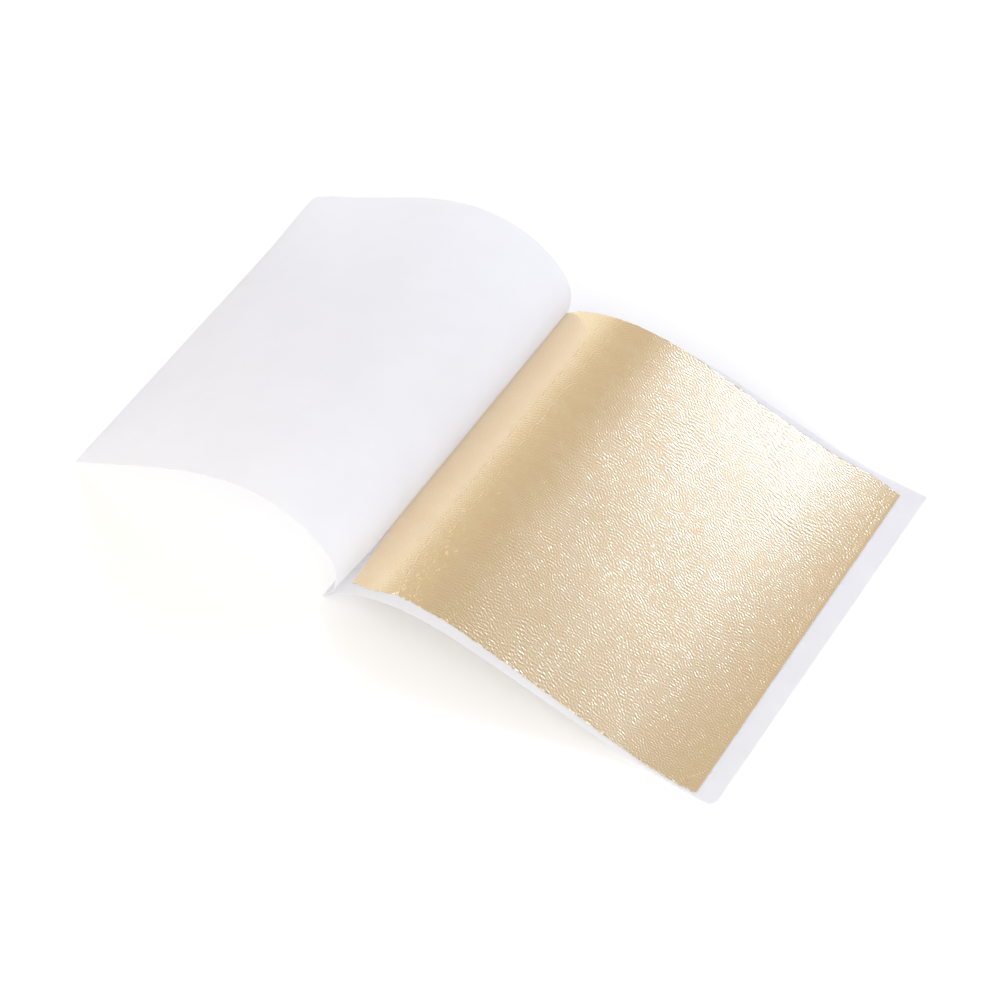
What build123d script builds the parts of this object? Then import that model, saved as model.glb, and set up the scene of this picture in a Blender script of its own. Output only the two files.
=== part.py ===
from build123d import *
import math
import os

# A folded tissue holding one metal leaf, open on a table.
# +X runs across the fold towards the page that carries the leaf, +Y runs along the fold from
# its near end to its far end, and +Z is up. The origin is on the table, at the middle of the
# ground that the open sheet covers. All lengths are in mm and all angles in degrees.

# Paper
PAGE_ALONG = 82.5
RESTING_ACROSS = 88.0
TURNED_ACROSS = 83.4
PAPER_THICK = 0.10
CORNER_RADIUS = 1.7

# The pressed fold, where the two halves of the sheet lie together next to the crease
PRESSED_ACROSS = 4.4
PRESSED_OPENING = 0.40

# Leaf
LEAF_THICK = 0.08
LEAF_CLEARANCE = 0.05
LEAF_FROM_CREASE = 4.8
LEAF_OUTER_MARGIN = 4.5
LEAF_NEAR_MARGIN_AT_FOLD = 2.3
LEAF_NEAR_MARGIN_AT_EDGE = 0.6
LEAF_FAR_MARGIN_AT_FOLD = 0.8
LEAF_FAR_MARGIN_AT_EDGE = 1.3

# The turned page bends along these lines, as shares of its free width from the pressed fold
BEND_SHARES = (0.0, 0.12, 0.30)
BEND_GAP = 0.12

# Course of the resting page, from the crease to the outer edge: it climbs out of the fold,
# crowns and comes down to a flat outer strip. Headings are measured up from +X.
REST_SHARES = (0.0, 0.05, 0.11, 0.19, 0.28, 0.38, 0.55, 0.75, 0.92, 1.0)
REST_HEADINGS = (47.0, 45.0, 27.0, 14.0, -1.0, -10.0, -14.0, -13.0, 0.0, 0.0)

# Course of the turned page, from the pressed fold to its outer edge: it stands up, arches
# over to the other side and comes down to the table.
TURNED_SHARES = (0.0, 0.06, 0.12, 0.18, 0.25, 0.33, 0.45, 0.62, 0.80, 1.0)
TURNED_HEADINGS = (62.0, 97.0, 119.0, 137.0, 153.0, 173.0, 195.0, 209.5, 212.0, 212.0)

# At the top of its arch the turned page heads this way
TURNED_LEVEL = 180.0

# Each way down is made steeper or flatter, within these shares of its headings, until the
# page's outer edge lands on the table
FALL_LIMIT_SHARES = (0.2, 1.8)
LANDING_STEPS = 60

# Places on a line that are closer than this are one place, and a turn of less than this share
# of a radian is straight
SAME_PLACE = 0.001
STRAIGHT_SHARE = 1e-6

HALF_PAPER = PAPER_THICK / 2
PAPER_PITCH = PRESSED_OPENING + PAPER_THICK
FREE_ACROSS = TURNED_ACROSS - PRESSED_ACROSS


class Course:
    """A line of tangent arcs in the XZ plane, with a heading at each station along it."""

    def __init__(self, shares, headings, length, start):
        self.length = length
        self.stations = [share * length for share in shares]
        self.headings = [math.radians(heading) for heading in headings]
        self.knots = [start]
        for low, high in zip(range(len(shares) - 1), range(1, len(shares))):
            run = self.stations[high] - self.stations[low]
            self.knots.append(self.advance(self.knots[-1], self.headings[low], self.headings[high], run))

    @staticmethod
    def advance(point, heading, end_heading, run):
        turn = end_heading - heading
        chord = run if abs(turn) < STRAIGHT_SHARE else run * math.sin(turn / 2) / (turn / 2)
        middle = (heading + end_heading) / 2
        return point[0] + chord * math.cos(middle), point[1] + chord * math.sin(middle)

    def at(self, station):
        """Position and heading at a distance along the line."""
        index = 0
        while index < len(self.stations) - 2 and station > self.stations[index + 1]:
            index += 1
        run = self.stations[index + 1] - self.stations[index]
        share = (station - self.stations[index]) / run
        turn = self.headings[index + 1] - self.headings[index]
        heading = self.headings[index] + turn * share
        point = self.advance(self.knots[index], self.headings[index], heading, run * share)
        return point, heading

    def point(self, station, lift):
        """The point at a height above the line, measured square to it."""
        (x, z), heading = self.at(station)
        return Vector(x - lift * math.sin(heading), 0, z + lift * math.cos(heading))

    def edge(self, start, end, lift):
        """One span between neighbouring stations, as an arc or a straight line."""
        if abs(self.at(start)[1] - self.at(end)[1]) < STRAIGHT_SHARE:
            return Edge.make_line(self.point(start, lift), self.point(end, lift))
        middle = (start + end) / 2
        return Edge.make_three_point_arc(*(self.point(s, lift) for s in (start, middle, end)))

    def sheet(self, start, end, low, high):
        """A sheet as long as the page that follows the line, between two heights above it."""
        first_inner, last_inner = start + SAME_PLACE, end - SAME_PLACE
        inner = [station for station in self.stations if first_inner < station < last_inner]
        stops = [start] + inner + [end]
        spans = list(zip(stops, stops[1:]))
        lower = [self.edge(a, b, low) for a, b in spans]
        upper = [self.edge(a, b, high) for a, b in spans]
        first = Edge.make_line(self.point(start, low), self.point(start, high))
        last = Edge.make_line(self.point(end, low), self.point(end, high))
        outline = Face(Wire(lower + upper + [first, last]))
        return extrude(outline, amount=PAGE_ALONG, dir=(0, 1, 0))


def landed(course_for):
    """The course whose outer edge lies on the table, among those that course_for gives."""
    low, high = FALL_LIMIT_SHARES
    for _ in range(LANDING_STEPS):
        share = (low + high) / 2
        course = course_for(share)
        if course.knots[-1][1] > HALF_PAPER:
            low = share
        else:
            high = share
    return course


def crease_start():
    """Where the resting page's middle line starts, with the round of the crease on the table."""
    heading = math.radians(REST_HEADINGS[0])
    radius = PAPER_PITCH / 2
    return radius * math.sin(heading), radius + HALF_PAPER - radius * math.cos(heading)


def rest_course(fall_share):
    """The resting page's middle line, with its way down scaled."""
    headings = [heading * fall_share if heading < 0 else heading for heading in REST_HEADINGS]
    return Course(REST_SHARES, headings, RESTING_ACROSS, crease_start())


REST = landed(rest_course)


def turned_start():
    """The line where the turned page leaves the pressed fold."""
    point = REST.point(PRESSED_ACROSS, PAPER_PITCH)
    return point.X, point.Z


def turned_course(fall_share):
    """The turned page's middle line, with its way down scaled."""
    falls = [max(heading - TURNED_LEVEL, 0) for heading in TURNED_HEADINGS]
    headings = [heading + fall * (fall_share - 1) for heading, fall in zip(TURNED_HEADINGS, falls)]
    return Course(TURNED_SHARES, headings, FREE_ACROSS, turned_start())


TURNED = landed(turned_course)
BENDS = [share * FREE_ACROSS for share in BEND_SHARES]


def rounded_corner(sheet, corner):
    """The sheet with the short edge nearest to a corner point rounded off."""
    edge = sheet.edges().sort_by_distance(corner)[0]
    return fillet(edge, CORNER_RADIUS)


def spine_fold():
    """The crease and both layers of the pressed fold, bent from one sheet."""
    lower = REST.sheet(0, PRESSED_ACROSS, -HALF_PAPER, HALF_PAPER)
    free_end = PRESSED_ACROSS - BEND_GAP / 2
    upper = REST.sheet(0, free_end, PAPER_PITCH - HALF_PAPER, PAPER_PITCH + HALF_PAPER)
    centre = REST.point(0, PAPER_PITCH / 2)
    heading = REST.at(0)[1]
    back = Vector(-math.cos(heading), 0, -math.sin(heading))
    rise = Vector(-math.sin(heading), 0, math.cos(heading))
    bends = []
    for radius in (PAPER_PITCH / 2 - HALF_PAPER, PAPER_PITCH / 2 + HALF_PAPER):
        stops = (centre - rise * radius, centre + back * radius, centre + rise * radius)
        bends.append(Edge.make_three_point_arc(*stops))
    closing = [Edge.make_line(bends[0] @ end, bends[1] @ end) for end in (0, 1)]
    crease = extrude(Face(Wire(bends + closing)), amount=PAGE_ALONG, dir=(0, 1, 0))
    return lower + crease + upper


def right_page():
    """The page that lies on the table under the leaf."""
    sheet = REST.sheet(PRESSED_ACROSS, RESTING_ACROSS, -HALF_PAPER, HALF_PAPER)
    return rounded_corner(sheet, REST.point(RESTING_ACROSS, 0))


def gold_leaf():
    """The leaf on the resting page, a little out of square with it at the near and far ends."""
    start, end = LEAF_FROM_CREASE, RESTING_ACROSS - LEAF_OUTER_MARGIN
    low = HALF_PAPER + LEAF_CLEARANCE
    full = REST.sheet(start, end, low, low + LEAF_THICK)
    fold_x, edge_x = REST.point(start, low).X - PAPER_PITCH, REST.point(end, low).X + PAPER_PITCH
    plan = Polyline(
        (fold_x, LEAF_NEAR_MARGIN_AT_FOLD),
        (edge_x, LEAF_NEAR_MARGIN_AT_EDGE),
        (edge_x, PAGE_ALONG - LEAF_FAR_MARGIN_AT_EDGE),
        (fold_x, PAGE_ALONG - LEAF_FAR_MARGIN_AT_FOLD),
        close=True,
    )
    return full & extrude(make_face(plan), amount=RESTING_ACROSS)


def turned_strip(index):
    """One strip of the turned page, between two of its bending lines."""
    last = index == len(BENDS) - 1
    start = BENDS[index] + BEND_GAP / 2
    end = FREE_ACROSS if last else BENDS[index + 1] - BEND_GAP / 2
    strip = TURNED.sheet(start, end, -HALF_PAPER, HALF_PAPER)
    if last:
        strip = rounded_corner(strip, TURNED.point(FREE_ACROSS, 0) + Vector(0, PAGE_ALONG, 0))
    return strip


parts = {"spine_fold": spine_fold(), "right_page": right_page(), "gold_leaf": gold_leaf()}
for number in range(len(BENDS)):
    parts[f"turned_page_strip_{number + 1}"] = turned_strip(number)

# The pieces were made with the crease at the origin, and are moved so that the ground that the
# sheet covers is centred there.
turned_edge_x = TURNED.point(FREE_ACROSS, -HALF_PAPER).X
resting_edge_x = REST.point(RESTING_ACROSS, 0).X
CREASE_X = -(turned_edge_x + resting_edge_x) / 2
CREASE_NEAR_Y = -PAGE_ALONG / 2

os.makedirs("parts", exist_ok=True)
for name, shape in parts.items():
    export_step(Pos(CREASE_X, CREASE_NEAR_Y, 0) * shape, f"parts/{name}.step")
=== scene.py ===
import math

import bpy
import numpy as np
from mathutils import Matrix, Vector


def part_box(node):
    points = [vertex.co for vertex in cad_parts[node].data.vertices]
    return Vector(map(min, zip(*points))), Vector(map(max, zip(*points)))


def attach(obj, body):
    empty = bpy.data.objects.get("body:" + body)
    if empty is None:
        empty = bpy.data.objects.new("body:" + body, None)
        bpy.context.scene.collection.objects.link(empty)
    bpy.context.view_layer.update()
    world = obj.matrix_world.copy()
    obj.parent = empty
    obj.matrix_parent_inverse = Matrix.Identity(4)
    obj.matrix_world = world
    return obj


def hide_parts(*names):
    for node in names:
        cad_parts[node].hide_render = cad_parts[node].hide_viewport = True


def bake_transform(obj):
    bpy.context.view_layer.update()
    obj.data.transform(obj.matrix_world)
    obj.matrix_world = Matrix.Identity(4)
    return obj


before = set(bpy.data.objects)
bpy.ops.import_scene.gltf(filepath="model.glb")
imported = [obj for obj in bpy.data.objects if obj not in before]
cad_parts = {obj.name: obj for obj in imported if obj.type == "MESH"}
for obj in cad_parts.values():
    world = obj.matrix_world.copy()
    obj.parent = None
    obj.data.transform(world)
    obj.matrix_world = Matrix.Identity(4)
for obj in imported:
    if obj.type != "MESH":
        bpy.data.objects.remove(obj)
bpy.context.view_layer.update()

# A sheet of tissue folded once, with one page turned over in an arch, and a crinkled metal leaf
# on the other page. Lengths are in mm, as on the object, and MM turns them into metres.
MM = 0.001

# Tissue: the part's sizes, except that the pressed fold is tighter
PAGE_ALONG = 82.5
RESTING_ACROSS = 88.0
TURNED_ACROSS = 83.4
PAPER_THICK = 0.10
CORNER_RADIUS = 1.7
PRESSED_ACROSS = 4.4
PRESSED_OPENING = 0.12
PAPER_PITCH = PRESSED_OPENING + PAPER_THICK
HALF_PAPER = PAPER_THICK / 2
FREE_ACROSS = TURNED_ACROSS - PRESSED_ACROSS
BEND_SHARES = (0.0, 0.12, 0.30)

# Courses of both pages, as headings at shares of a length: the resting page's from the crease,
# and the turned page's from the pressed fold. They are the part's, except that the turned page
# leaves the fold a little more steeply.
REST_SHARES = (0.0, 0.05, 0.11, 0.19, 0.28, 0.38, 0.55, 0.75, 0.92, 1.0)
REST_HEADINGS = (47.0, 45.0, 27.0, 14.0, -1.0, -10.0, -14.0, -13.0, 0.0, 0.0)
FREE_SHARES = (0.0, 0.06, 0.12, 0.18, 0.25, 0.33, 0.45, 0.62, 0.80, 1.0)
FREE_HEADINGS = (76.0, 90.0, 119.0, 137.0, 153.0, 173.0, 195.0, 209.5, 212.0, 212.0)
TURNED_LEVEL = 180.0
FALL_LIMIT_SHARES = (0.2, 1.8)
LANDING_STEPS = 40

# Along a course, headings are worked out at this step and eased over this length
COURSE_STEP = 0.05
EASE_ACROSS = 1.4

# Steps of the tissue's meshes: along the sheet, in rows, round the crease, at the outer edges,
# and on both sides of a seam
PAPER_STEP = 0.45
PAPER_ROWS = 110
CREASE_STEPS = 16
EDGE_STEP = 0.12
SEAM_LEAD = 1.6
SEAM_STEPS = 17
LEAST_STEP = 0.02
PLACE_DIGITS = 4

# Smooth noise repeats after this many whole places
LATTICE = 64

# Slow waves in the tissue, with weaker and shorter ones added
WAVE_HEIGHT = 0.07
WAVE_LENGTH = 26.0
SHORTER_WAVES, SHORTER_WAVE_SHARE, SHORTER_WAVE_SHIFT = 2.3, 0.4, 5
WAVE_SEED, SHORTER_WAVE_SEED = 3, 4

# The waves die out where the tissue lies on the table or is pressed together. On the turned page
# these are distances from its outer edge, and then how far before the second bending line they
# start to lessen. On the resting page they are distances from the crease.
TURNED_WAVES_FROM, TURNED_WAVES_FULL = 2.0, 22.0
TURNED_WAVES_LEAD = 14
RESTING_WAVES_FROM, RESTING_WAVES_FULL = 8.0, 26.0
RESTING_WAVES_LESS, RESTING_WAVES_END = 56.0, 76.0

# The turned page's far corner lifts off the table
CORNER_LIFT = 0.7
CORNER_LIFT_REACH = 20.0

# At its near end the pressed fold gapes by this much. These are distances up the turned page from
# the crease, and along the fold from its near end.
GAPE = 0.65
GAPE_FROM, GAPE_FULL, GAPE_LESS, GAPE_END = 0.3, 4.4, 6.0, 16.0
GAPE_ALONG = 13.0

# The sheet's cut edges stray a little from straight lines
EDGE_WANDER = 0.03
EDGE_WANDER_LENGTH = 9.0
NEAR_EDGE_SEED, FAR_EDGE_SEED = 8, 9

# Over the crown of the resting page its far edge is cut a little short, up to the leaf
FAR_TRIM = 0.55
FAR_TRIM_FROM, FAR_TRIM_FULL, FAR_TRIM_LESS, FAR_TRIM_END = 0.0, 7.0, 30.0, 44.0

# Leaf: the heights of its upper side and underside above the tissue, and the grids of both sides
LEAF_LIFT = 0.10
LEAF_UNDERSIDE = 0.045
LEAF_COLUMNS = 290
LEAF_ROWS = 330
UNDER_COLUMNS = 48
UNDER_ROWS = 60

# Extra columns stand this far from each tear and from the small fold, as shares of the leaf's
# width
COLUMN_STEPS = (-0.0016, 0.0, 0.0016)

# Edges of the leaf, chosen from the photograph. Left and right are distances from the
# crease at places along the fold. Near and far are places along the fold at distances from the
# crease.
LEAF_LEFT = ((0.0, 6.8), (20.4, 3.9), (82.0, 3.9))
LEAF_RIGHT = ((0.6, 83.9), (40.0, 83.65), (81.2, 83.4))
LEAF_NEAR = ((3.9, 2.9), (6.4, 2.8), (12.0, 1.85), (18.0, 2.3), (30.0, 2.1), (45.0, 1.7),
             (62.0, 1.2), (76.0, 0.8), (82.0, 0.6), (83.9, 0.8))
LEAF_FAR = ((3.9, 82.1), (6.0, 81.95), (30.0, 81.9), (36.0, 81.9), (49.0, 81.3), (62.0, 80.9),
            (70.0, 81.0), (76.0, 81.2), (80.0, 80.7), (83.4, 79.9))

# The edges are ragged, the near one most. The rags die out inwards, faster with a higher power.
LEAF_RAG = 0.11
RAG_LENGTH = 0.8
SHORTER_RAG_LENGTH, SHORTER_RAG_SHARE = 0.37, 0.7
LEFT_RAG_SHARE, RIGHT_RAG_SHARE, FAR_RAG_SHARE = 0.3, 0.35, 0.5
SIDE_RAG_POWER, END_RAG_POWER = 8, 24
LEFT_RAG_SEED, RIGHT_RAG_SEED, NEAR_RAG_SEED, FAR_RAG_SEED = 31, 33, 35, 37

# The leaf's outer edge curls up a little
CURL_HEIGHT = 0.06
CURL_WIDTH = 0.5

# Small tears in the leaf's near edge, each with its place, half its width, and its depth
TEARS = ((17.5, 0.50, 0.95), (20.8, 0.28, 0.30), (82.3, 0.30, 0.35))
TEAR_POWER = 4

# A small fold in the leaf near its outer corner, from one place to another
FOLD_START, FOLD_END = (81.35, 2.4), (81.75, 3.6)
FOLD_WIDTH = 0.13
FOLD_HEIGHT = 0.07

# Crinkles of the leaf: short ridges that run mostly across the fold, as a sum of waves with
# lengths between these. Their directions lean and spread by these angles, in degrees, and swirl
# slowly.
CRINKLE_HEIGHT = 0.025
CRINKLE_LENGTHS = (0.52, 0.78)
CRINKLE_LEAN = 17.0
CRINKLE_SPREAD = 48.0
CRINKLE_WAVES = 120
CRINKLE_SEED = 11
CRINKLE_SWIRL = 1.6
CRINKLE_SWIRL_LENGTH = 14.0
SWIRL_SHIFT = 9
SWIRL_SEEDS = (21, 22)

# They rise beside the fold, between these distances from the crease, and are calmer round the
# leaf's near outer corner, up to these distances from it
CRINKLE_FROM, CRINKLE_FULL = 1.0, 10.0
CALM_CORNER = (84.0, 0.6)
CALM_SHARE = 0.68
CALM_FULL, CALM_END = 9.0, 32.0


class Course:
    """A smooth line in the XZ plane, given by its headings at stations along it."""

    def __init__(self, places, headings, start):
        self.length = places[-1]
        self.stations = np.linspace(0, self.length, int(self.length / COURSE_STEP) + 1)
        turns = np.interp(self.stations, places, np.radians(headings))
        self.headings = eased(turns, self.stations[1])
        middle = (self.headings[1:] + self.headings[:-1]) / 2
        self.x = start[0] + np.concatenate([[0], np.cumsum(np.cos(middle))]) * self.stations[1]
        self.z = start[1] + np.concatenate([[0], np.cumsum(np.sin(middle))]) * self.stations[1]

    def at(self, station, lift=0.0):
        """Places x and z at distances along the line and above it, and the headings there."""
        heading = np.interp(station, self.stations, self.headings)
        x = np.interp(station, self.stations, self.x) - lift * np.sin(heading)
        z = np.interp(station, self.stations, self.z) + lift * np.cos(heading)
        return x, z, heading


def eased(values, step):
    """Values averaged over a short way along the line."""
    reach = int(EASE_ACROSS / 2 / step)
    window = np.hanning(2 * reach + 3)[1:-1]
    padded = np.pad(values, reach, mode="reflect", reflect_type="odd")
    return np.convolve(padded, window / window.sum(), mode="valid")


def landed(places, headings, falls, start):
    """The course whose outer edge lies on the table. Its falls are made steeper or flatter."""
    low, high = FALL_LIMIT_SHARES
    for _ in range(LANDING_STEPS):
        share = (low + high) / 2
        steeper = [heading + fall * (share - 1) for heading, fall in zip(headings, falls)]
        course = Course(places, steeper, start)
        if course.z[-1] > HALF_PAPER:
            low = share
        else:
            high = share
    return course


def resting_course():
    """The resting page's middle line, from the crease to its outer edge."""
    heading = math.radians(REST_HEADINGS[0])
    radius = PAPER_PITCH / 2
    start = (radius * math.sin(heading), radius + HALF_PAPER - radius * math.cos(heading))
    falls = [min(heading, 0) for heading in REST_HEADINGS]
    return landed([share * RESTING_ACROSS for share in REST_SHARES], REST_HEADINGS, falls, start)


def turned_course():
    """The turned page's middle line, from the crease along the pressed fold to its outer edge."""
    start = REST.at(0, PAPER_PITCH)[:2]
    free_places = [PRESSED_ACROSS + share * FREE_ACROSS for share in FREE_SHARES]
    places = [0.0, PRESSED_ACROSS] + free_places
    headings = list(REST_HEADINGS[:2]) + list(FREE_HEADINGS)
    falls = [max(heading - TURNED_LEVEL, 0) for heading in headings]
    return landed(places, headings, falls, start)


REST = resting_course()
TURNED = turned_course()

# The sheet is followed from the turned page's outer edge over the arch, round the crease and out
# to the resting page's outer edge. Its inner side is then always on the left, and faces up.
CREASE_LENGTH = math.pi * PAPER_PITCH / 2
CREASE_START = TURNED_ACROSS
CREASE_END = CREASE_START + CREASE_LENGTH
SHEET_END = CREASE_END + RESTING_ACROSS
BENDS = [CREASE_START - PRESSED_ACROSS - share * FREE_ACROSS for share in BEND_SHARES]

# Where the crease and the near edge stand, from the middle of the ground that the sheet covers
CREASE_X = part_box("right_page")[1].x / MM - REST.x[-1]
NEAR_Y = -PAGE_ALONG / 2


def sheet_line(place, lift):
    """Places x and z at distances along the sheet and above its middle, and the headings there."""
    tx, tz, th = TURNED.at(np.clip(CREASE_START - place, 0, TURNED_ACROSS), -lift)
    rx, rz, rh = REST.at(np.clip(place - CREASE_END, 0, RESTING_ACROSS), lift)
    first = REST.headings[0]
    turn = np.clip((place - CREASE_START) / CREASE_LENGTH, 0, 1) * math.pi
    centre_x, centre_z, _ = REST.at(0, PAPER_PITCH / 2)
    radius = PAPER_PITCH / 2 - lift
    cx = centre_x - radius * np.sin(first + turn)
    cz = centre_z + radius * np.cos(first + turn)
    on_turned, on_rest = place < CREASE_START, place > CREASE_END
    x = np.where(on_turned, tx, np.where(on_rest, rx, cx))
    z = np.where(on_turned, tz, np.where(on_rest, rz, cz))
    heading = np.where(on_turned, th + math.pi, np.where(on_rest, rh, first + turn + math.pi))
    return x, z, heading


def lattice_noise(x, y, seed):
    """Smooth noise in the plane, from -1 to 1, with one value for each whole place."""
    values = np.random.default_rng(seed).uniform(-1, 1, (LATTICE, LATTICE))
    x0, y0 = np.floor(x).astype(int), np.floor(y).astype(int)
    fx, fy = x - x0, y - y0
    fx, fy = fx * fx * (3 - 2 * fx), fy * fy * (3 - 2 * fy)
    left, right = x0 % LATTICE, (x0 + 1) % LATTICE
    near, far = y0 % LATTICE, (y0 + 1) % LATTICE
    a, b = values[left, near], values[right, near]
    c, d = values[left, far], values[right, far]
    return (a * (1 - fx) + b * fx) * (1 - fy) + (c * (1 - fx) + d * fx) * fy


def smooth_step(value, start, end):
    """A value's eased share, from 0 at the start to 1 at the end."""
    share = np.clip((value - start) / (end - start), 0, 1)
    return share * share * (3 - 2 * share)


def tissue_wave(place, y):
    """How far the sheet stands off its course: slow waves, a lifted corner and the gaping fold."""
    turned_end = smooth_step(place, BENDS[1] - TURNED_WAVES_LEAD, BENDS[0])
    free_turned = smooth_step(place, TURNED_WAVES_FROM, TURNED_WAVES_FULL) * (1 - turned_end)
    from_crease = place - CREASE_END
    resting_end = smooth_step(from_crease, RESTING_WAVES_LESS, RESTING_WAVES_END)
    free_rest = smooth_step(from_crease, RESTING_WAVES_FROM, RESTING_WAVES_FULL)
    free_rest = free_rest * (1 - resting_end)
    across, along = place / WAVE_LENGTH, y / WAVE_LENGTH
    wave = lattice_noise(across, along, WAVE_SEED)
    across, along = across * SHORTER_WAVES + SHORTER_WAVE_SHIFT, along * SHORTER_WAVES
    wave = wave + SHORTER_WAVE_SHARE * lattice_noise(across, along, SHORTER_WAVE_SEED)
    corner = np.hypot(place, PAGE_ALONG - y)
    lift = CORNER_LIFT * (1 - smooth_step(corner, 0.0, CORNER_LIFT_REACH))
    return WAVE_HEIGHT * wave * (free_turned + free_rest) + lift - fold_gape(place, y)


def fold_gape(place, y):
    """How far the turned page stands off to its outer side at the near end of the fold."""
    up = CREASE_START - place
    off = smooth_step(up, GAPE_FROM, GAPE_FULL) * (1 - smooth_step(up, GAPE_LESS, GAPE_END))
    return GAPE * off * (1 - smooth_step(y, 0.0, GAPE_ALONG))


def corner_inset(from_edge):
    """How far a rounded corner draws the edge in, at a distance from the outer edge."""
    short = np.clip(CORNER_RADIUS - from_edge, 0, CORNER_RADIUS)
    return CORNER_RADIUS - np.sqrt(CORNER_RADIUS ** 2 - short ** 2)


def edge_wander(places, seed):
    """How far a cut edge of the sheet strays from a straight line."""
    return EDGE_WANDER * lattice_noise(places / EDGE_WANDER_LENGTH, places * 0, seed)


def far_trim(from_crease):
    """How far the sheet's far edge is drawn in beside the crown of the resting page."""
    ahead = smooth_step(from_crease, FAR_TRIM_FROM, FAR_TRIM_FULL)
    return FAR_TRIM * ahead * (1 - smooth_step(from_crease, FAR_TRIM_LESS, FAR_TRIM_END))


def sheet_point(place, y, lift):
    """Points in metres, in the part's frame, on the waved sheet and above its middle."""
    x, z, _ = sheet_line(place, lift + tissue_wave(place, y))
    return np.stack([(x + CREASE_X) * MM, (y + NEAR_Y) * MM, z * MM], axis=-1)


def new_mesh_object(name, points, faces):
    """An object in the scene with a smoothly shaded mesh."""
    mesh = bpy.data.meshes.new(name)
    mesh.from_pydata([tuple(point) for point in points], [], faces)
    mesh.validate()
    mesh.polygons.foreach_set("use_smooth", [True] * len(mesh.polygons))
    piece = bpy.data.objects.new(name, mesh)
    bpy.context.scene.collection.objects.link(piece)
    return piece


def grid_faces(columns, rows, first, flip):
    """Quads of a grid whose points are stored column by column."""
    i, j = np.meshgrid(np.arange(columns - 1), np.arange(rows - 1), indexing="ij")
    a = (first + i * rows + j).ravel()
    quads = np.stack([a, a + rows, a + rows + 1, a + 1], axis=1)
    return (quads[:, ::-1] if flip else quads).tolist()


def rim(columns, rows):
    """Indices of a grid's boundary points in order, as (column, row) pairs."""
    way = [(i, 0) for i in range(columns - 1)]
    way += [(columns - 1, j) for j in range(rows - 1)]
    way += [(i, rows - 1) for i in range(columns - 1, 0, -1)]
    way += [(0, j) for j in range(rows - 1, 0, -1)]
    return way


def sharpen_rim(piece, sharp):
    """Marks the edges between a sheet's faces and its rim, so that both shade flat to the edge."""
    wanted = {tuple(sorted(pair)) for pair in sharp}
    for edge in piece.data.edges:
        if tuple(sorted(edge.vertices)) in wanted:
            edge.use_edge_sharp = True


def places_along(start, end):
    """Stations of one piece of the sheet: even, and closer in the crease and at outer edges."""
    places = [np.arange(start, end, PAPER_STEP), [end]]
    if start < CREASE_START < end:
        places.append(np.linspace(CREASE_START, CREASE_END, CREASE_STEPS))
    for edge, inward in ((0.0, 1), (SHEET_END, -1)):
        if start <= edge <= end:
            places.append(edge + inward * np.arange(0, 2 * CORNER_RADIUS, EDGE_STEP))
    for seam in (start, end):
        if 0 < seam < SHEET_END:
            near_seam = seam + np.linspace(-SEAM_LEAD, SEAM_LEAD, SEAM_STEPS)
            places.append(near_seam[(near_seam >= start) & (near_seam <= end)])
    stations = np.unique(np.round(np.concatenate(places), PLACE_DIGITS))
    keep = np.concatenate([[True], np.diff(stations) > LEAST_STEP])
    keep[-1] = True
    return stations[keep]


def tissue_piece(name, start, end):
    """A closed thin piece of the sheet between two places along it."""
    places = places_along(start, end)
    columns, rows = len(places), PAPER_ROWS
    near = corner_inset(SHEET_END - places) + edge_wander(places, NEAR_EDGE_SEED)
    far = PAGE_ALONG - corner_inset(places) - far_trim(places - CREASE_END)
    far = far + edge_wander(places, FAR_EDGE_SEED)
    share = np.linspace(0, 1, rows)[None, :]
    y = near[:, None] * (1 - share) + far[:, None] * share
    place = np.repeat(places[:, None], rows, axis=1)
    inner = sheet_point(place, y, HALF_PAPER).reshape(-1, 3)
    outer = sheet_point(place, y, -HALF_PAPER).reshape(-1, 3)
    count = columns * rows
    faces = grid_faces(columns, rows, 0, False) + grid_faces(columns, rows, count, True)
    way = [i * rows + j for i, j in rim(columns, rows)]
    sharp = []
    for a, b in zip(way, way[1:] + way[:1]):
        faces.append([b, a, a + count, b + count])
        sharp += [(a, b), (a + count, b + count)]
    piece = new_mesh_object(name, np.concatenate([inner, outer]), faces)
    sharpen_rim(piece, sharp)
    return piece


def crinkle(across, along):
    """Height of the leaf's crinkles, from short waves that run nearly the same way."""
    random = np.random.default_rng(CRINKLE_SEED)
    slow_x, slow_y = across / CRINKLE_SWIRL_LENGTH, along / CRINKLE_SWIRL_LENGTH
    px = across + CRINKLE_SWIRL * lattice_noise(slow_x, slow_y, SWIRL_SEEDS[0])
    py = along + CRINKLE_SWIRL * lattice_noise(slow_x + SWIRL_SHIFT, slow_y, SWIRL_SEEDS[1])
    height = np.zeros_like(across)
    for _ in range(CRINKLE_WAVES):
        length = random.uniform(*CRINKLE_LENGTHS)
        turn = math.radians(90 - CRINKLE_LEAN + random.normal(0, CRINKLE_SPREAD))
        phase = random.uniform(0, 2 * math.pi)
        height += length * np.sin(
            2 * math.pi / length * (px * math.cos(turn) + py * math.sin(turn)) + phase)
    height *= math.sqrt(2 / CRINKLE_WAVES)
    from_corner = np.hypot(across - CALM_CORNER[0], along - CALM_CORNER[1])
    calm = CALM_SHARE * (1 - smooth_step(from_corner, CALM_FULL, CALM_END))
    return CRINKLE_HEIGHT * height * (1 - calm) * smooth_step(across, CRINKLE_FROM, CRINKLE_FULL)


def leaf_edges(places, points, seed):
    """An edge of the leaf through given points, and the small rags along it."""
    at, out = zip(*points)
    line = np.interp(places, at, out)
    rag = lattice_noise(places / RAG_LENGTH, places * 0, seed)
    shorter = lattice_noise(places / SHORTER_RAG_LENGTH, places * 0, seed + 1)
    return line, LEAF_RAG * (rag + SHORTER_RAG_SHARE * shorter)


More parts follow.
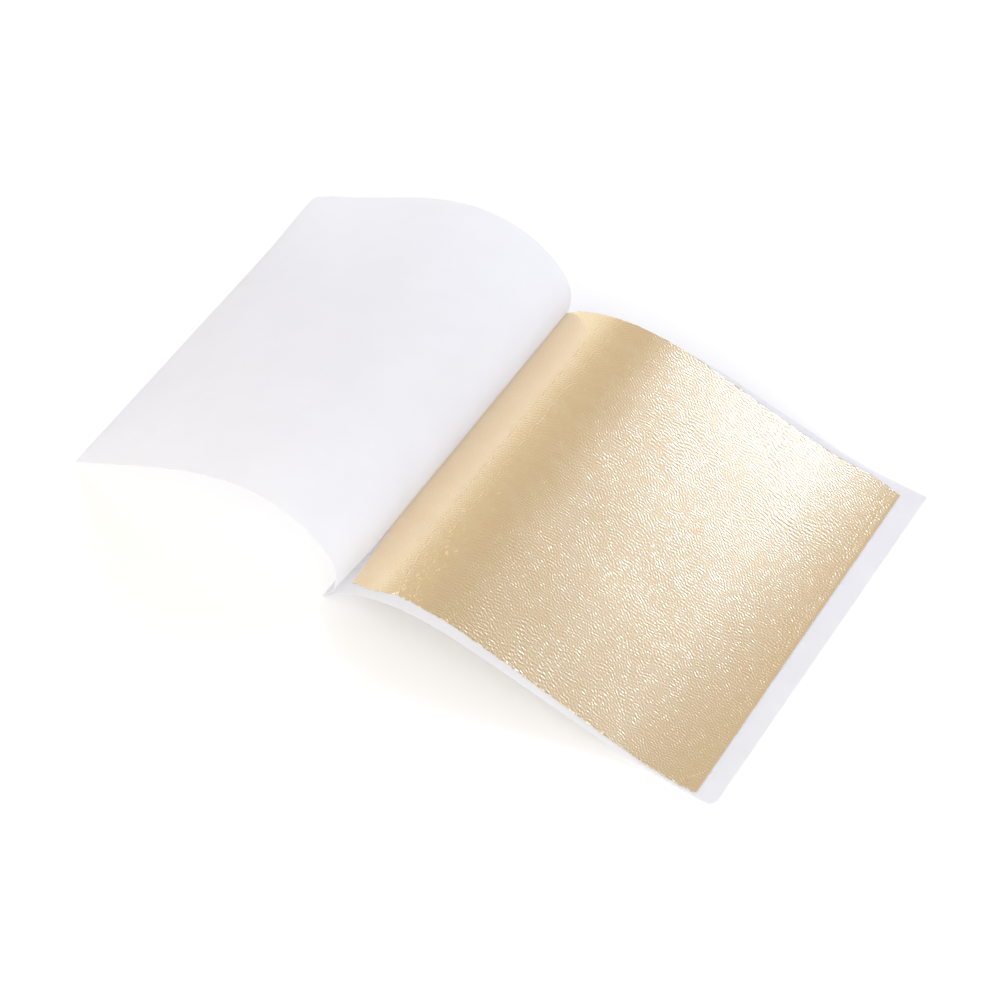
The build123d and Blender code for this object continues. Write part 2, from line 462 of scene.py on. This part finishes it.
def leaf_columns(count):
    """Shares across the leaf for its columns: even, and closer at the tears and the small fold."""
    start, width = LEAF_LEFT[0][1], LEAF_RIGHT[0][1] - LEAF_LEFT[0][1]
    places = [at for at, _, _ in TEARS] + [(FOLD_START[0] + FOLD_END[0]) / 2]
    fine = np.array([(place - start) / width + step for place in places for step in COLUMN_STEPS])
    even = np.linspace(0, 1, count - len(fine))
    return np.sort(np.concatenate([even, fine]))


def leaf_fold(across, along):
    """Height of the small fold near the leaf's outer corner."""
    (x0, y0), (x1, y1) = FOLD_START, FOLD_END
    run = math.hypot(x1 - x0, y1 - y0)
    ahead = ((across - x0) * (x1 - x0) + (along - y0) * (y1 - y0)) / run
    aside = ((across - x0) * (y1 - y0) - (along - y0) * (x1 - x0)) / run
    beyond = np.maximum(np.maximum(-ahead, ahead - run), 0)
    return FOLD_HEIGHT * np.exp(-(aside / FOLD_WIDTH) ** 2 - (beyond / FOLD_WIDTH) ** 2)


def edge_curl(across):
    """Height of the curl along the leaf's outer edge, which is each row's last point."""
    from_edge = across[-1:, :] - across
    return CURL_HEIGHT * (1 - smooth_step(from_edge, 0.0, CURL_WIDTH))


def leaf_grid(columns, rows):
    """Places across and along of the leaf's grid points, inside its torn outline."""
    u = leaf_columns(columns)[:, None] + np.zeros((1, rows))
    v = np.linspace(0, 1, rows)[None, :] + np.zeros((columns, 1))
    along = v * PAGE_ALONG
    left, left_rag = leaf_edges(along, LEAF_LEFT, LEFT_RAG_SEED)
    right, right_rag = leaf_edges(along, LEAF_RIGHT, RIGHT_RAG_SEED)
    across = left + LEFT_RAG_SHARE * left_rag * (1 - u) ** SIDE_RAG_POWER
    across = across + (right - left) * u + RIGHT_RAG_SHARE * right_rag * u ** SIDE_RAG_POWER
    near, near_rag = leaf_edges(across, LEAF_NEAR, NEAR_RAG_SEED)
    far, far_rag = leaf_edges(across, LEAF_FAR, FAR_RAG_SEED)
    torn = sum(deep * np.exp(-((across - at) / wide) ** TEAR_POWER) for at, wide, deep in TEARS)
    near = near + (near_rag + torn) * (1 - v) ** END_RAG_POWER
    far = far + FAR_RAG_SHARE * far_rag * v ** END_RAG_POWER
    along = near + (far - near) * v
    return across, along


def leaf_piece():
    """The leaf: a finely crinkled upper side, and a plainer underside on a coarser grid."""
    across, along = leaf_grid(LEAF_COLUMNS, LEAF_ROWS)
    lift = HALF_PAPER + LEAF_LIFT + crinkle(across, along)
    lift = lift + leaf_fold(across, along) + edge_curl(across)
    top = sheet_point(CREASE_END + across, along, lift).reshape(-1, 3)
    columns = np.unique(np.linspace(0, LEAF_COLUMNS - 1, UNDER_COLUMNS).astype(int))
    rows = np.unique(np.linspace(0, LEAF_ROWS - 1, UNDER_ROWS).astype(int))
    under_across, under_along = across[np.ix_(columns, rows)], along[np.ix_(columns, rows)]
    low = HALF_PAPER + LEAF_UNDERSIDE
    under = sheet_point(CREASE_END + under_across, under_along, low).reshape(-1, 3)
    count = LEAF_COLUMNS * LEAF_ROWS
    faces = grid_faces(LEAF_COLUMNS, LEAF_ROWS, 0, False)
    faces += grid_faces(len(columns), len(rows), count, True)
    under_of = {(int(i), int(j)): count + a * len(rows) + b
                for a, i in enumerate(columns) for b, j in enumerate(rows)}
    way = rim(LEAF_COLUMNS, LEAF_ROWS)
    steps = way + way[:1]
    sharp = []
    last = under_of[(0, 0)]
    for (i, j), (next_i, next_j) in zip(steps, steps[1:]):
        a, b = i * LEAF_ROWS + j, next_i * LEAF_ROWS + next_j
        below = under_of.get((next_i, next_j))
        faces.append([b, a, last])
        sharp.append((a, b))
        if below is not None and below != last:
            faces.append([b, last, below])
            sharp.append((last, below))
            last = below
    piece = new_mesh_object("crinkled_leaf", np.concatenate([top, under]), faces)
    sharpen_rim(piece, sharp)
    return piece


# Materials. A noise's scale is its patches in a metre, and bump heights are in metres.

# Tissue: its colour, with clouds a little darker, and two layers of fibres
TISSUE_COLOUR = (0.968, 0.966, 0.980)
TISSUE_TRANSLUCENCE = 0.70
TISSUE_ROUGHNESS = 0.62
TISSUE_SPECULAR = 0.25
CLOUD_SHADE = 0.985
CLOUDS = dict(turn=20, stretch=1.6, scale=190, detail=4, roughness=0.55)
FIBRES = (dict(turn=35, stretch=9.0, scale=5200, detail=2),
          dict(turn=-50, stretch=7.0, scale=4300, detail=2))
FIBRE_STRENGTH = 0.12
FIBRE_HEIGHT = 0.00003

# Leaf: its colour, with warmer patches, and a thin gloss over it
LEAF_COLOUR = (0.995, 0.825, 0.56)
LEAF_WARM = (0.985, 0.78, 0.50)
LEAF_PATCHES = dict(turn=-CRINKLE_LEAN, stretch=2.2, scale=420, detail=5, roughness=0.6)
PATCHES_FROM, PATCHES_FULL = 0.3, 0.7
LEAF_ROUGHNESS = 0.22
LEAF_COAT = 0.5
LEAF_COAT_ROUGHNESS = 0.12

# The finest crinkles of the leaf: the patches and the waves in each, how much they agree in
# direction, and their height
FINE_SCALE = 800.0
FINE_FREQUENCY = 2.4
FINE_ANISOTROPY = 0.55
FINE_HEIGHT = 0.000035


def node_material(name):
    """A material with a shader at its output, and that shader."""
    material = bpy.data.materials.new(name)
    material.use_nodes = True
    nodes = material.node_tree.nodes
    nodes.clear()
    out = nodes.new("ShaderNodeOutputMaterial")
    shader = nodes.new("ShaderNodeBsdfPrincipled")
    material.node_tree.links.new(shader.outputs[0], out.inputs["Surface"])
    return material, shader


def add(material, kind, **values):
    """A node with values set on its properties or input sockets."""
    node = material.node_tree.nodes.new(kind)
    for name, value in values.items():
        if name in node.inputs:
            node.inputs[name].default_value = value
        else:
            setattr(node, name, value)
    return node


def stretched_noise(material, turn, stretch, scale, detail, roughness=0.5):
    """Noise in object space, turned about Z and stretched along one way."""
    link = material.node_tree.links.new
    place = add(material, "ShaderNodeTexCoord")
    mapping = add(material, "ShaderNodeMapping", vector_type="TEXTURE")
    mapping.inputs["Rotation"].default_value = (0, 0, math.radians(turn))
    mapping.inputs["Scale"].default_value = (stretch, 1, 1)
    noise = add(material, "ShaderNodeTexNoise", Scale=scale, Detail=detail, Roughness=roughness)
    link(place.outputs["Object"], mapping.inputs["Vector"])
    link(mapping.outputs["Vector"], noise.inputs["Vector"])
    return noise.outputs["Fac"]


def mixed(material, factor, low, high, low_at=0.35, high_at=0.65):
    """A colour between two, by a factor's place between two levels."""
    link = material.node_tree.links.new
    ramp = add(material, "ShaderNodeValToRGB")
    ramp.color_ramp.elements[0].position = low_at
    ramp.color_ramp.elements[0].color = (*low, 1)
    ramp.color_ramp.elements[1].position = high_at
    ramp.color_ramp.elements[1].color = (*high, 1)
    link(factor, ramp.inputs["Fac"])
    return ramp.outputs["Color"]


def tissue_material():
    """Thin paper: clouded, with fibres as bump, and light comes through it."""
    material, shader = node_material("tissue_paper")
    link = material.node_tree.links.new
    darker = tuple(CLOUD_SHADE * channel for channel in TISSUE_COLOUR)
    colour = mixed(material, stretched_noise(material, **CLOUDS), darker, TISSUE_COLOUR)
    link(colour, shader.inputs["Base Color"])
    both = add(material, "ShaderNodeMath", operation="ADD")
    for layer, fibres in enumerate(FIBRES):
        link(stretched_noise(material, **fibres), both.inputs[layer])
    bump = add(material, "ShaderNodeBump", Strength=FIBRE_STRENGTH, Distance=FIBRE_HEIGHT)
    link(both.outputs[0], bump.inputs["Height"])
    link(bump.outputs["Normal"], shader.inputs["Normal"])
    shader.inputs["Roughness"].default_value = TISSUE_ROUGHNESS
    shader.inputs["Specular IOR Level"].default_value = TISSUE_SPECULAR
    through = add(material, "ShaderNodeBsdfTranslucent")
    link(colour, through.inputs["Color"])
    link(bump.outputs["Normal"], through.inputs["Normal"])
    both_sides = add(material, "ShaderNodeMixShader")
    both_sides.inputs["Fac"].default_value = TISSUE_TRANSLUCENCE
    link(shader.outputs[0], both_sides.inputs[1])
    link(through.outputs[0], both_sides.inputs[2])
    out = next(node for node in material.node_tree.nodes if node.type == "OUTPUT_MATERIAL")
    link(both_sides.outputs[0], out.inputs["Surface"])
    return material


def leaf_material():
    """Bright metal: patchy in tint, with the finest crinkles as bump, under a thin gloss."""
    material, shader = node_material("crinkled_metal_leaf")
    link = material.node_tree.links.new
    patches = stretched_noise(material, **LEAF_PATCHES)
    tint = mixed(material, patches, LEAF_WARM, LEAF_COLOUR, PATCHES_FROM, PATCHES_FULL)
    link(tint, shader.inputs["Base Color"])
    place = add(material, "ShaderNodeTexCoord")
    fine = add(material, "ShaderNodeTexGabor", gabor_type="2D", Scale=FINE_SCALE,
               Frequency=FINE_FREQUENCY, Anisotropy=FINE_ANISOTROPY)
    fine.inputs["Orientation 2D"].default_value = math.radians(90 - CRINKLE_LEAN)
    link(place.outputs["Object"], fine.inputs["Vector"])
    bump = add(material, "ShaderNodeBump", Strength=1.0, Distance=FINE_HEIGHT)
    link(fine.outputs["Value"], bump.inputs["Height"])
    link(bump.outputs["Normal"], shader.inputs["Normal"])
    shader.inputs["Metallic"].default_value = 1.0
    shader.inputs["Roughness"].default_value = LEAF_ROUGHNESS
    shader.inputs["Coat Weight"].default_value = LEAF_COAT
    shader.inputs["Coat Roughness"].default_value = LEAF_COAT_ROUGHNESS
    return material


TISSUE = tissue_material()
LEAF = leaf_material()


# Pieces. The turned page is cut between its bending lines, so that each piece holds one. A place
# this length beyond the outer piece's bending line is also worked out.
OUTER_BEND_REACH = 14.0


def half_way(index):
    """The place between two of the page's bending lines."""
    return (BENDS[index] + BENDS[index + 1]) / 2


SEAMS = (half_way(1), half_way(0), BENDS[0] + SEAM_LEAD)
OUTER_BEND_END = BENDS[2] - OUTER_BEND_REACH


def middle_point(place):
    """The point on the sheet's middle line at a place along it, in metres."""
    x, z, _ = sheet_line(np.array([float(place)]), 0.0)
    return ((x[0] + CREASE_X) * MM, 0.0, z[0] * MM)


resting = tissue_piece("resting_tissue", SEAMS[2], SHEET_END)
near_fold = tissue_piece("turned_tissue_near_fold", SEAMS[1], SEAMS[2])
middle = tissue_piece("turned_tissue_middle", SEAMS[0], SEAMS[1])
outer = tissue_piece("turned_tissue_outer", 0.0, SEAMS[0])
leaf = leaf_piece()

for piece in (resting, near_fold, middle, outer):
    piece.data.materials.append(TISSUE)
leaf.data.materials.append(LEAF)

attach(resting, "resting_page")
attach(leaf, "leaf")
middle_point(SEAMS[2])
middle_point(SEAMS[1])
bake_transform(near_fold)
middle_point(SEAMS[1])
middle_point(SEAMS[0])
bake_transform(middle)
middle_point(SEAMS[0])
middle_point(OUTER_BEND_END)
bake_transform(outer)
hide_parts("spine_fold", "right_page")
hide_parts("turned_page_strip_1")
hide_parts("turned_page_strip_2")
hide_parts("turned_page_strip_3")
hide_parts("gold_leaf")


# Floor, light and camera, in metres and degrees from here on

# The floor glows to the camera and in mirrors by just enough to look white where it is lit
FLOOR_DROP = 0.02 * MM
FLOOR_SIZE = 6.0
FLOOR_COLOUR = (0.85, 0.85, 0.85)
FLOOR_ROUGHNESS = 0.9
FLOOR_GLOW = 0.22


def floor():
    """A wide pale floor, which keeps the object's shadow."""
    mesh = bpy.data.meshes.new("floor")
    half = FLOOR_SIZE / 2
    corners = [(-half, -half), (half, -half), (half, half), (-half, half)]
    mesh.from_pydata([(x, y, -FLOOR_DROP) for x, y in corners], [], [(0, 1, 2, 3)])
    piece = bpy.data.objects.new("floor", mesh)
    bpy.context.scene.collection.objects.link(piece)
    material, shader = node_material("pale_floor")
    link = material.node_tree.links.new
    shader.inputs["Base Color"].default_value = (*FLOOR_COLOUR, 1)
    shader.inputs["Roughness"].default_value = FLOOR_ROUGHNESS
    shader.inputs["Specular IOR Level"].default_value = 0.0
    shader.inputs["Emission Color"].default_value = (1, 1, 1, 1)
    path = add(material, "ShaderNodeLightPath")
    seen = add(material, "ShaderNodeMath", operation="MAXIMUM")
    seen_through = add(material, "ShaderNodeMath", operation="MAXIMUM")
    glow = add(material, "ShaderNodeMath", operation="MULTIPLY")
    link(path.outputs["Is Camera Ray"], seen.inputs[0])
    link(path.outputs["Is Glossy Ray"], seen.inputs[1])
    link(seen.outputs[0], seen_through.inputs[0])
    link(path.outputs["Is Transmission Ray"], seen_through.inputs[1])
    link(seen_through.outputs[0], glow.inputs[0])
    glow.inputs[1].default_value = FLOOR_GLOW
    link(glow.outputs[0], shader.inputs["Emission Strength"])
    piece.data.materials.append(material)


def direction(azimuth, elevation):
    """The unit vector towards a place in the sky. Azimuth 0 is +Y and 90 is +X."""
    a, e = math.radians(azimuth), math.radians(elevation)
    return Vector((math.sin(a) * math.cos(e), math.cos(a) * math.cos(e), math.sin(e)))


# Lamps, each with its azimuth and elevation, distance, width and height, brightness and colour.
# The cool ones are what the leaf mirrors in its brightest places.
PLAIN = (0.98, 1.0, 0.98)
COOL = (0.75, 1.0, 1.62)
LAMPS = {
    "back_softbox": (25, 47, 0.9, 0.80, 0.50, 0.20, COOL),
    "low_back_softbox": (20, 38, 0.8, 0.50, 0.26, 2.65, COOL),
    "right_softbox": (95, 28, 1.0, 1.9, 0.50, 0.66, PLAIN),
    "front_softbox": (155, 35, 1.0, 1.2, 0.60, 0.62, PLAIN),
    "left_softbox": (243, 52, 1.0, 1.2, 0.60, 0.71, PLAIN),
    "low_left_softbox": (235, 18, 1.0, 1.5, 0.60, 0.12, PLAIN),
    "low_front_softbox": (188, 20, 1.0, 0.70, 0.40, 0.90, PLAIN),
}


def softbox(name, azimuth, elevation, distance, width, height, radiance, colour):
    """An area lamp that faces the object, with a brightness of 1 for white."""
    lamp = bpy.data.lights.new(name, "AREA")
    lamp.shape = "RECTANGLE"
    lamp.size = width
    lamp.size_y = height
    lamp.energy = radiance * math.pi * width * height
    lamp.color = colour
    piece = bpy.data.objects.new(name, lamp)
    piece.location = direction(azimuth, elevation) * distance
    piece.rotation_euler = direction(azimuth, elevation).to_track_quat("Z", "Y").to_euler()
    piece.visible_camera = False
    bpy.context.scene.collection.objects.link(piece)


# The sky is pale low down and greyer overhead, with each colour at a height from 0 to 1
SKY = ((0.30, (0.96, 0.96, 0.95)), (0.45, (0.93, 0.91, 0.87)), (0.61, (0.65, 0.60, 0.525)),
       (0.80, (0.64, 0.58, 0.50)), (1.0, (0.45, 0.42, 0.38)))


def sky():
    """The studio round the object."""
    world = bpy.data.worlds.new("studio")
    world.use_nodes = True
    bpy.context.scene.world = world
    link = world.node_tree.links.new
    place = add(world, "ShaderNodeTexCoord")
    split = add(world, "ShaderNodeSeparateXYZ")
    ramp = add(world, "ShaderNodeValToRGB")
    stops = ramp.color_ramp.elements
    while len(stops) < len(SKY):
        stops.new(1.0)
    for stop, (height, colour) in zip(stops, SKY):
        stop.position = height
        stop.color = (*colour, 1)
    link(place.outputs["Generated"], split.inputs[0])
    link(split.outputs["Z"], ramp.inputs["Fac"])
    link(ramp.outputs["Color"], world.node_tree.nodes["Background"].inputs["Color"])


# Camera, fitted to the sheet's outline in the photograph, which shows the middle of the crease
# at the target pixel. Its azimuth is measured from -Y towards +X.
CAMERA_AZIMUTH = 33.03
CAMERA_ELEVATION = 52.03
CAMERA_DISTANCE = 0.584
CAMERA_LENS = 108.0
SENSOR_WIDTH = 36.0
PHOTO_PIXELS = 1000
TARGET_PIXEL = (443.4, 451.1)


def camera():
    """The camera faces the middle of the crease, and is shifted so that this lies off centre."""
    data = bpy.data.cameras.new("camera")
    piece = bpy.data.objects.new("camera", data)
    bpy.context.scene.collection.objects.link(piece)
    a, e = math.radians(CAMERA_AZIMUTH), math.radians(CAMERA_ELEVATION)
    back = Vector((math.sin(a) * math.cos(e), -math.cos(a) * math.cos(e), math.sin(e)))
    right = Vector((math.cos(a), math.sin(a), 0))
    up = back.cross(right)
    turn = Matrix((right, up, back)).transposed().to_4x4()
    crease = Vector((CREASE_X * MM, 0, 0))
    piece.matrix_world = Matrix.Translation(crease + back * CAMERA_DISTANCE) @ turn
    data.lens = CAMERA_LENS
    data.sensor_width = SENSOR_WIDTH
    data.sensor_fit = "HORIZONTAL"
    data.shift_x = (PHOTO_PIXELS / 2 - TARGET_PIXEL[0]) / PHOTO_PIXELS
    data.shift_y = (TARGET_PIXEL[1] - PHOTO_PIXELS / 2) / PHOTO_PIXELS
    bpy.context.scene.camera = piece


floor()
sky()
for name, setting in LAMPS.items():
    softbox(name, *setting)
camera()
bpy.context.scene.view_settings.view_transform = "Standard"
